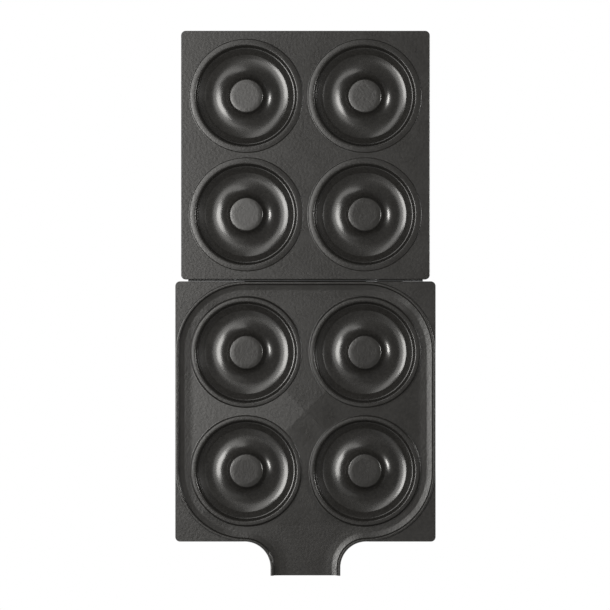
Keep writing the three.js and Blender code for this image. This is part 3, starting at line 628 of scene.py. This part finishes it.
def nonstick(name, roughness, depth):
    """A satin charcoal coating: a fine grain in its height and tone, and slow changes in its sheen."""
    material, nodes, links, shader = new_material(name)
    grain = noise(nodes, links, 420, 3)
    add_bump(nodes, links, shader, grain, 0.12, depth)
    add_tone(nodes, links, shader, grain, (0.0105, 0.0100, 0.0092), (0.0170, 0.0162, 0.0150))
    add_roughness(nodes, links, shader, noise(nodes, links, 55, 4), roughness - 0.03, roughness + 0.03)
    return material


def moulded(name, color, roughness, grain=1500):
    """Plastic, rubber or silicone with the fine spark texture of its mould."""
    material, nodes, links, shader = new_material(name)
    spark = noise(nodes, links, grain, 2)
    add_bump(nodes, links, shader, spark, 0.35, 0.00006)
    slow = noise(nodes, links, 30, 3)
    add_tone(nodes, links, shader, slow, [c * 0.88 for c in color], [c * 1.12 for c in color])
    add_roughness(nodes, links, shader, slow, roughness - 0.04, roughness + 0.04)
    return material


def rolled_sheet():
    """Bright aluminium with rolling marks along X and a light heat haze."""
    material, nodes, links, shader = new_material("rolled_aluminium")
    shader.inputs["Metallic"].default_value = 1.0
    marks = noise(nodes, links, 1400, 4, (0.02, 1, 1))
    add_bump(nodes, links, shader, marks, 0.25, 0.00004)
    add_tone(nodes, links, shader, noise(nodes, links, 18, 3), (0.52, 0.50, 0.46), (0.62, 0.62, 0.62))
    add_roughness(nodes, links, shader, marks, 0.24, 0.38)
    return material


def tempered_tube():
    """The heater's steel sheath, tinted brown and straw by its own heat."""
    material, nodes, links, shader = new_material("heater_sheath")
    shader.inputs["Metallic"].default_value = 1.0
    haze = noise(nodes, links, 45, 5)
    add_tone(nodes, links, shader, haze, (0.17, 0.13, 0.10), (0.30, 0.27, 0.24))
    add_roughness(nodes, links, shader, haze, 0.32, 0.5)
    add_bump(nodes, links, shader, noise(nodes, links, 900, 3), 0.2, 0.00005)
    return material


def plated(name, dark, light, roughness):
    """Zinc, brass or black-coated metal: a fine mottle, with a little wear in its sheen."""
    material, nodes, links, shader = new_material(name)
    shader.inputs["Metallic"].default_value = 1.0
    mottle = noise(nodes, links, 380, 5)
    add_tone(nodes, links, shader, mottle, dark, light)
    add_roughness(nodes, links, shader, mottle, roughness - 0.06, roughness + 0.08)
    add_bump(nodes, links, shader, noise(nodes, links, 1600, 3), 0.15, 0.00003)
    return material


def black_coat():
    material, nodes, links, shader = new_material("black_coat")
    peel = noise(nodes, links, 1100, 2)
    add_bump(nodes, links, shader, peel, 0.3, 0.00005)
    add_tone(nodes, links, shader, peel, (0.004, 0.004, 0.004), (0.008, 0.008, 0.008))
    add_roughness(nodes, links, shader, noise(nodes, links, 60, 3), 0.4, 0.5)
    return material


def fired_clay():
    material, nodes, links, shader = new_material("fired_ceramic")
    specks = noise(nodes, links, 700, 5)
    add_tone(nodes, links, shader, specks, (0.60, 0.54, 0.42), (0.72, 0.67, 0.56))
    add_roughness(nodes, links, shader, specks, 0.55, 0.75)
    add_bump(nodes, links, shader, specks, 0.3, 0.0001)
    return material


def lamp_plastic(name, dark, light):
    """Clear coloured plastic: lit from the outside it shows mostly its colour and its polish."""
    material, nodes, links, shader = new_material(name)
    cloud = noise(nodes, links, 260, 2)
    add_tone(nodes, links, shader, cloud, dark, light)
    add_roughness(nodes, links, shader, cloud, 0.08, 0.16)
    shader.inputs["Transmission Weight"].default_value = 0.3
    shader.inputs["Coat Weight"].default_value = 0.4
    return material


nonstick_trough = nonstick("nonstick_trough", 0.24, 0.00012)
MATERIALS = {
    "nonstick_cast": nonstick("nonstick_face", 0.30, 0.0011),
    "shell": moulded("shell_plastic", (0.016, 0.016, 0.0155), 0.5),
    "cover": moulded("cover_plastic", (0.009, 0.009, 0.009), 0.55, 1100),
    "reflector_sheet": rolled_sheet(),
    "heater_sheath": tempered_tube(),
    "steel": plated("zinc_steel", (0.40, 0.41, 0.42), (0.58, 0.59, 0.61), 0.32),
    "black_steel": black_coat(),
    "rubber": moulded("moulded_rubber", (0.007, 0.007, 0.007), 0.78, 800),
    "ceramic": fired_clay(),
    "brass": plated("brass_metal", (0.46, 0.31, 0.10), (0.60, 0.43, 0.16), 0.26),
    "silicone": moulded("silicone_jacket", (0.040, 0.040, 0.043), 0.45, 500),
    "button": moulded("button_plastic", (0.075, 0.075, 0.075), 0.42),
    "red_lens": lamp_plastic("red_lens", (0.45, 0.010, 0.006), (0.60, 0.020, 0.010)),
    "green_lens": lamp_plastic("green_lens", (0.010, 0.28, 0.04), (0.020, 0.38, 0.06)),
}


# ------------------------------------------------------------------ making the other pieces
def finish_as(made, node):
    """made moves with, stands for and is coloured as one CAD node."""
    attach(made, BODY_OF[node])
    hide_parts(node)
    return coloured_as(made, node)


def coloured_as(made, node):
    made.data.materials.append(MATERIALS[SLOT_OF[node]])
    return made


def centre_of(node):
    low, high = box_mm(node)
    return (low + high) / 2


def on_base(x, y, z):
    """A point of the base's half frame, in the row frame; heights are the object's own."""
    return Vector((x, BASE_CENTRE_Y + y, z))


def on_lid(x, y, z):
    return Vector((-x, LID_CENTRE_Y - y, z))


ON_HALF = {"base": on_base, "lid": on_lid}


def rounded(node, width, share=lambda middle: 1.0, segments=2):
    """A copy of a CAD node with its edges rounded; share gives an edge's part of width from its middle."""
    shape = bmesh.new()
    shape.from_mesh(frame["nodes"][node].data)
    bmesh.ops.remove_doubles(shape, verts=shape.verts, dist=WELD * MM)
    bmesh.ops.dissolve_limit(shape, angle_limit=math.radians(0.5), verts=shape.verts, edges=shape.edges)
    weight = shape.edges.layers.float.new("bevel_weight_edge")
    for edge in shape.edges:
        if edge.is_manifold and edge.calc_face_angle() > math.radians(50):
            edge[weight] = share((edge.verts[0].co + edge.verts[1].co) / (2 * MM))
    name = node + "_rounded"
    mesh = bpy.data.meshes.new(name)
    shape.to_mesh(mesh)
    shape.free()
    mesh.shade_smooth()
    made = link(name, mesh)
    bevel = made.modifiers.new("rounding", "BEVEL")
    bevel.limit_method = "WEIGHT"
    bevel.width = width * MM
    bevel.segments = segments
    bevel.use_clamp_overlap = False
    made.modifiers.new("normals", "WEIGHTED_NORMAL")
    return finish_as(made, node)


def turned(name, profile, place, sides=64):
    """A profile of (radius, height) points turned about Z; a radius of 0 closes it on the axis."""
    surface = Surface()
    angles = [2 * math.pi * i / sides for i in range(sides)]
    rings = [[(r * math.cos(a), r * math.sin(a), z) for a in angles] for r, z in profile if r > 0]
    ids = surface.rows(rings)
    for (r, z), ring in ((profile[0], ids[0]), (profile[-1], ids[-1])):
        if r == 0:
            surface.fan((0, 0, z), ring)
    return surface.make(name, place, crease=40)


def tube(name, points, radius):
    """A round bar along a line of points in millimetres, as a mesh."""
    curve = bpy.data.curves.new(name, "CURVE")
    curve.dimensions = "3D"
    curve.bevel_depth = radius * MM
    curve.bevel_resolution = 5
    curve.use_fill_caps = True
    spline = curve.splines.new("POLY")
    spline.points.add(len(points) - 1)
    for knot, p in zip(spline.points, points):
        knot.co = (*(Vector(p) * MM), 1)
    line = link(name, curve)
    bpy.context.view_layer.update()
    mesh = bpy.data.meshes.new_from_object(line.evaluated_get(bpy.context.evaluated_depsgraph_get()))
    bpy.data.objects.remove(line)
    mesh.shade_smooth()
    return link(name, mesh)


def cut_away(made, cutter):
    """Takes cutter's shape out of made, and removes cutter."""
    trim = made.modifiers.new("cut", "BOOLEAN")
    trim.operation = "DIFFERENCE"
    trim.object = cutter
    bpy.context.view_layer.update()
    made.data = bpy.data.meshes.new_from_object(made.evaluated_get(bpy.context.evaluated_depsgraph_get()))
    made.modifiers.clear()
    bpy.data.objects.remove(cutter)


def block(name, low, high):
    """A plain box to cut with."""
    surface = Surface()
    (x0, y0, z0), (x1, y1, z1) = low, high
    outline = [(x0, y0), (x1, y0), (x1, y1), (x0, y1)]
    ids = surface.rows([[(x, y, z) for x, y in outline] for z in (z0, z1)], flat=True)
    surface.face(tuple(ids[0]), True)
    surface.face(tuple(ids[1]), True)
    return surface.make(name, Matrix())


# ------------------------------------------------------------------ shells, covers and the handle
def housing(half):
    """The shell: a generous radius round its lower outer edge and fine ones elsewhere, with two beads."""
    node = half + "_housing"
    low, high = box_mm(node)

    def share(middle):
        outer = max(abs(middle.x), abs(middle.y - (low.y + high.y) / 2)) > SHELL_HALF[half] - 2.3
        return 1.0 if outer and abs(middle.z - low.z) < 0.1 else 0.14

    rounded(node, 2.2, share, 4)
    for i, height in enumerate((low.z + 6, high.z - 2.4)):
        bead(f"{half}_housing_bead_{i + 1}", half, height)


def bead(name, half, height):
    """A fine half-round line that runs all the way round the shell."""
    out = SHELL_HALF[half] - 0.25
    radius = 0.55
    rows = []
    for i in range(9):
        angle = 2 * math.pi * i / 8
        reach = out + radius * math.cos(angle)
        rows.append(rounded_square(reach, reach, 8 + reach - out, height - AXIS_Z + radius * math.sin(angle)))
    surface = Surface()
    surface.rows(rows)
    made = surface.make(name, BASE_PLACE if half == "base" else LID_PLACE)
    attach(made, half)
    return coloured_as(made, half + "_housing")


def handle():
    """The bridge handle, with soft edges all round its bar and legs."""
    low, high = box_mm("lid_handle")
    half, depth = (high.x - low.x) / 2, (high.y - low.y) / 2
    inner, foot, top = half - 12, low.z, high.z
    quarter = math.pi / 2
    outline = [(-half, top)] + arc(-half + 7, foot + 7, 7, 2 * quarter, 3 * quarter, 10)
    outline += arc(half - 7, foot + 7, 7, -quarter, 0, 10) + [(half, top), (inner, top)]
    outline += arc(inner - 4, foot + 13, 4, 0, -quarter, 8)
    outline += arc(-inner + 4, foot + 13, 4, -quarter, -2 * quarter, 8)
    outline += [(-inner, top)]
    surface = Surface()
    ids = surface.rows([[(x, y, z) for x, z in outline] for y in (-depth, depth)])
    surface.face(tuple(ids[0]))
    surface.face(tuple(ids[1]))
    made = surface.make("lid_handle_bridge", Matrix.Translation((0, (low.y + high.y) / 2, 0)))
    soften = made.modifiers.new("rounding", "BEVEL")
    soften.width = 2.4 * MM
    soften.segments = 5
    soften.limit_method = "ANGLE"
    soften.angle_limit = math.radians(50)
    made.modifiers.new("normals", "WEIGHTED_NORMAL")
    return finish_as(made, "lid_handle")


for side in ("base", "lid"):
    housing(side)
rounded("base_bottom_cover", 0.5)
rounded("power_inlet", 0.5)
handle()


# ------------------------------------------------------------------ rubber, lamps, screws
def rubber_foot(node):
    """A foot with a rounded tread, a groove round it and the well that its screw's head sits in."""
    low, high = box_mm(node)
    tall = high.z - low.z
    profile = [(2, 3), (4.2, 3), (4.2, 0.6), (4.8, 0), (6.2, 0), (6.5, 0.5), (6.9, 0.5), (7.2, 0)]
    profile += arc(7.3, 0.8, 0.8, -math.pi / 2, 0, 4)
    profile += [(8.55, 4.4), (8.25, 4.7), (8.6, 5.0), (8.9, tall - 0.5), (8.5, tall), (2, tall), (2, 3)]
    spot = (*centre_of(node).xy, low.z)
    return finish_as(turned(node + "_turned", profile, Matrix.Translation(spot)), node)


def rubber_pad(node):
    """A round pad with a shallow hollow in the middle of its face."""
    low, high = box_mm(node)
    tall = high.z - low.z
    profile = [(0, 0.25), (2.6, 0.25), (3.0, 0), (4.9, 0)]
    profile += arc(5.1, 0.9, 0.9, -math.pi / 2, 0, 5) + [(6, tall), (0, tall)]
    spot = (*centre_of(node).xy, low.z)
    return finish_as(turned(node + "_turned", profile, Matrix.Translation(spot)), node)


def lens(node):
    """A small domed lens with a flange that rests on the shell."""
    low, high = box_mm(node)
    dome = [(4 * math.sin(a), 0.75 * (1 - math.cos(a))) for a in (0, 0.3, 0.6, 0.9, 1.2, 1.4)]
    profile = dome + [(4, 0.8), (4, 1.2), (3, 1.2), (3, high.z - low.z), (0, high.z - low.z)]
    spot = (*centre_of(node).xy, low.z)
    return finish_as(turned(node + "_turned", profile, Matrix.Translation(spot)), node)


def grommet(node):
    """A rubber ring with a groove round it, that the wall of its hole sits in."""
    low, high = box_mm(node)
    half = (high.y - low.y) / 2
    lip = 1.2
    profile = [
        (2.3, -half + 0.3), (2.7, -half), (4.5, -half), (5, -half + 0.5), (5, lip - half), (3.4, lip - half),
        (3.4, half - lip), (5, half - lip), (5, half - 0.5), (4.5, half), (2.7, half), (2.3, half - 0.3),
        (2.3, -half + 0.3),
    ]
    place = Matrix.Translation(centre_of(node)) @ Matrix.Rotation(-math.pi / 2, 4, "X")
    return finish_as(turned(node + "_turned", profile, place), node)


def screw(node, head_radius, head_height, shaft_radius, seat, turn):
    """A pan-head screw with a cross recess; seat is the middle of its head's underside."""
    low, high = box_mm(node)
    length = max(high - low) - head_height
    taper = -length + shaft_radius
    profile = [(0, -length), (shaft_radius * 0.5, -length), (shaft_radius, taper)]
    for i in range(int((length - shaft_radius) / THREAD_PITCH)):
        z = taper + THREAD_PITCH * i
        profile += [(shaft_radius, z), (shaft_radius * 0.86, z + THREAD_PITCH / 2)]
    profile += [(shaft_radius, -0.3), (shaft_radius, 0), (head_radius - 0.15, 0), (head_radius, 0.15)]
    for a in (0.0, 0.35, 0.7, 1.05, 1.35):
        profile.append((head_radius * math.cos(a), head_height * (0.35 + 0.65 * math.sin(a))))
    profile += [(0, head_height)]
    made = turned(node + "_turned", profile, Matrix(), 40)
    arm, slot = head_radius * 0.55, head_radius * 0.13
    bottom, above = head_height * 0.45, head_height + 1
    for long_x, long_y in ((arm, slot), (slot, arm)):
        cut_away(made, block("driver", (-long_x, -long_y, bottom), (long_x, long_y, above)))
    made.data.transform(Matrix.Translation(Vector(seat) * MM) @ turn)
    return finish_as(made, node)


def foot_screw(node):
    seat = (*centre_of(node).xy, box_mm(node)[0].z + HEAD_HEIGHT)
    screw(node, 3.6, HEAD_HEIGHT, 1.6, seat, Matrix.Rotation(math.pi, 4, "X"))


def handle_screw(node):
    seat = (*centre_of(node).xy, box_mm(node)[1].z - HEAD_HEIGHT)
    screw(node, 3.4, HEAD_HEIGHT, 1.6, seat, Matrix())


def hinge_screw(half, side):
    """One of the small screws whose heads face away from their own shell, along Y."""
    node = f"{half}_hinge_screw_{side}"
    low, high = box_mm(node)
    middle = centre_of(node)
    small_head = 1.2
    seat_y = high.y - small_head if half == "base" else low.y + small_head
    turn = Matrix.Rotation(-math.pi / 2 if half == "base" else math.pi / 2, 4, "X")
    screw(node, 2.5, small_head, 1.2, (middle.x, seat_y, middle.z), turn)


for corner in ("front_left", "front_right", "rear_left", "rear_right"):
    rubber_foot("foot_" + corner)
    foot_screw("foot_screw_" + corner)
for side in ("left", "right"):
    rubber_pad("handle_pad_" + side)
    handle_screw("handle_screw_" + side)
for side in ("left", "middle", "right"):
    hinge_screw("base", side)
    hinge_screw("lid", side)
lens("power_lamp_lens")
lens("ready_lamp_lens")
grommet("base_lead_grommet")
grommet("lid_lead_grommet")


# ------------------------------------------------------------------ catches, hinge and inlet
def catch(half):
    """The slider with its ribbed button, and the hook bracket."""
    node = half + "_catch_slider"
    rounded(node, 0.6, lambda middle: 1.0 if middle.z > 48.6 or middle.z < 45.9 else 0.4, 3)
    rounded(half + "_hook_bracket", 0.35)
    face = SHELL_HALF[half] + BUTTON_REACH
    for i, y in enumerate((-6, 0, 6)):
        ends = [ON_HALF[half](-face, y, z) for z in (45.2, 49.3)]
        rib = tube(f"{half}_catch_rib_{i + 1}", ends, 0.45)
        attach(rib, half + "_catch")
        coloured_as(rib, node)


def catch_spring(half):
    """The coil spring behind the slider."""
    start = SHELL_HALF[half] - SPRING_INSET
    steps = 160
    points = []
    for i in range(steps + 1):
        t = i / steps
        angle = 2 * math.pi * SPRING_COILS * t
        along = SPRING_WIRE + (SPRING_LENGTH - 2 * SPRING_WIRE) * min(1, max(0, (t - 0.14) / 0.72))
        y, z = SPRING_RADIUS * math.cos(angle), SPRING_HEIGHT + SPRING_RADIUS * math.sin(angle)
        points.append(ON_HALF[half](-start + along, y, z))
    made = finish_as(tube(half + "_catch_spring_wire", points, SPRING_WIRE), half + "_catch_spring")
    anchor = ON_HALF[half](-start + SPRING_LENGTH, 0, SPRING_HEIGHT) * MM
    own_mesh(made)


for half in ("base", "lid"):
    catch(half)
    catch_spring(half)
    rounded(half + "_hinge_leaf", 0.1)
for pin in ("line", "neutral", "earth"):
    rounded("inlet_pin_" + pin, 0.7, segments=3)


# ------------------------------------------------------------------ heating and wiring
def heater(half):
    """One smooth loop of sheathed tube whose ends turn down through the reflector."""
    quarter = math.pi / 2
    drop = 6  # radius of the turn at each end
    turn = arc(0, 0, drop, 0, quarter, 8)
    line = [(-HEATER_ENDS, HEATER_REACH, HEATER_FOOT)]
    line += [(-HEATER_ENDS - drop + x, HEATER_REACH, HEATER_HEIGHT - drop + z) for x, z in turn]
    flat = HEATER_REACH - HEATER_BEND
    bends = [(-flat, flat, 1), (-flat, -flat, 2), (flat, -flat, 3), (flat, flat, 0)]
    for cx, cy, quarters in bends:
        start = quarters * quarter
        bend = arc(cx, cy, HEATER_BEND, start, start + quarter, 14)
        line += [(x, y, HEATER_HEIGHT) for x, y in bend]
    line += [(HEATER_ENDS + drop - x, HEATER_REACH, HEATER_HEIGHT - drop + z) for x, z in reversed(turn)]
    line += [(HEATER_ENDS, HEATER_REACH, HEATER_FOOT)]
    points = [ON_HALF[half](*p) for p in line]
    return finish_as(tube(half + "_heater_tube", points, HEATER_RADIUS), half + "_heater")


def thermostat():
    """A ceramic body, a narrower neck and the button that touches the plate."""
    low, high = box_mm("base_thermostat")
    top, step, neck = high.z - low.z, 39 - low.z, 48 - low.z
    profile = [
        (0, 0), (10.6, 0), (11, 0.4), (11, step - 0.4), (10.6, step), (8.9, step), (8.5, step + 0.4),
        (8.5, neck - 0.4), (8.1, neck), (6, neck), (6, top - 0.6), (5.4, top), (0, top),
    ]
    spot = (*centre_of("base_thermostat").xy, low.z)
    return finish_as(turned("base_thermostat_body", profile, Matrix.Translation(spot)), "base_thermostat")


def thermal_cutout():
    """A ceramic body and the narrower button that touches the plate."""
    node = "lid_thermal_cutout"
    low, high = box_mm(node)
    top, step = high.z - low.z, 38.8 - low.z
    profile = [
        (0, 0), (8.7, 0), (9, 0.3), (9, step - 0.3), (8.7, step), (6.9, step), (6.5, step + 0.4),
        (6.5, top - 0.8), (6.2, top - 0.2), (5.6, top), (0, top),
    ]
    spot = (*centre_of(node).xy, low.z)
    return finish_as(turned(node + "_body", profile, Matrix.Translation(spot)), node)


def thermal_fuse():
    """A small can with a crimp near one end and a wire at each."""
    node = "base_thermal_fuse"
    body = [
        (0, -11), (0.6, -11), (0.6, -7.2), (1.4, -6.8), (2.2, -6), (2.2, -4.6), (2.0, -4.4), (2.0, -4.0),
        (2.2, -3.8), (2.2, 6), (1.4, 6.8), (0.6, 7.2), (0.6, 11), (0, 11),
    ]
    place = Matrix.Translation(centre_of(node)) @ Matrix.Rotation(math.pi / 2, 4, "Y")
    return finish_as(turned(node + "_body", body, place), node)


def smooth_line(knots, steps=8):
    """A Catmull-Rom curve through the knots."""
    points = []
    last = len(knots) - 1
    for i in range(last):
        a, b, c, d = (Vector(knots[min(max(j, 0), last)]) for j in (i - 1, i, i + 1, i + 2))
        for k in range(steps):
            t = k / steps
            square, cube = 2 * a - 5 * b + 4 * c - d, 3 * b - 3 * c + d - a
            points.append(0.5 * (2 * b + (c - a) * t + square * t * t + cube * t ** 3))
    return points + [Vector(knots[-1])]


def jumper_lead():
    """The lead across the hinge, one round tube along its route."""
    knots = [(x, AXIS.y + y, z) for x, y, z in LEAD_ROUTE]
    made = tube("jumper_lead_jacket", smooth_line(knots), LEAD_RADIUS)
    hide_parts("jumper_lead")
    start, end = ((x * MM, (AXIS.y + y) * MM, 0) for x, y in LEAD_BEND)
    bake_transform(made)
    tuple(start)
    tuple(end)
    return coloured_as(made, "jumper_lead")


for half in ("base", "lid"):
    heater(half)
    rounded(half + "_reflector", 0.45)
    rounded(half + "_heater_strap_left", 0.3)
    rounded(half + "_heater_strap_right", 0.3)
rounded("terminal_block", 0.4)
thermostat()
thermal_cutout()
thermal_fuse()
jumper_lead()

for made, node in ((upper_plate(), "upper_plate"), (lower_plate(), "lower_plate")):
    finish_as(made, node)
    made.data.materials.append(nonstick_trough)
for name, node in frame["nodes"].items():
    node.data.materials.clear()
    node.data.materials.append(MATERIALS[SLOT_OF[name]])


# ------------------------------------------------------------------ stage, lights and camera
def stage_floor():
    """A floor that is plain white whatever the light, with no shadow on it."""
    mesh = bpy.data.meshes.new("floor")
    size = 6.0
    corners = [(-size, -size, 0), (size, -size, 0), (size, size, 0), (-size, size, 0)]
    mesh.from_pydata(corners, [], [(0, 1, 2, 3)])
    floor = link("floor", mesh)
    material, _, _, shader = new_material("studio_floor")
    shader.inputs["Base Color"].default_value = (0, 0, 0, 1)
    shader.inputs["Specular IOR Level"].default_value = 0
    shader.inputs["Emission Color"].default_value = (1, 1, 1, 1)
    shader.inputs["Emission Strength"].default_value = 1.0
    mesh.materials.append(material)


def softbox(name, facing_y, tilt, size, power):
    """A rectangular light; tilt is its angle from straight up, in degrees, negative to the left."""
    tilt = math.radians(tilt)
    direction = Vector((math.sin(tilt), 0, math.cos(tilt)))
    data = bpy.data.lights.new(name, "AREA")
    data.shape = "RECTANGLE"
    data.size_y, data.size = size  # across the tilt, then along Y
    data.energy = power
    data.color = WARM_WHITE
    lamp = link(name, data)
    lamp.location = Vector((0, facing_y, LIGHT_HEIGHT)) + direction * LIGHT_DISTANCE
    lamp.rotation_euler = direction.to_track_quat("Z", "Y").to_euler()
    lamp.visible_camera = False


def sky():
    world = bpy.data.worlds.new("studio_sky")
    world.use_nodes = True
    background = world.node_tree.nodes["Background"]
    background.inputs["Color"].default_value = (1, 1, 1, 1)
    background.inputs["Strength"].default_value = SKY
    bpy.context.scene.world = world


def camera_above():
    """A long lens that looks straight down."""
    data = bpy.data.cameras.new("camera")
    data.lens = FOCAL
    data.sensor_width = SENSOR
    data.clip_end = 20
    camera = link("camera", data)
    camera.location = (*CAMERA_SHIFT, VIEW_HEIGHT + VIEW_WIDTH * FOCAL / SENSOR)
    bpy.context.scene.camera = camera


stage_floor()
softbox("key_softbox", 0.0, -35.5, (0.577, 0.82), 23)
softbox("overhead_panel", 0.70, -15.7, (0.49, 1.9), 8.9)
softbox("front_panel", -0.9, -19, (0.49, 1.3), 1.1)
softbox("side_softbox", 0.12, 58, (0.19, 0.42), 12.6)
sky()
camera_above()
bpy.context.scene.view_settings.view_transform = "Standard"
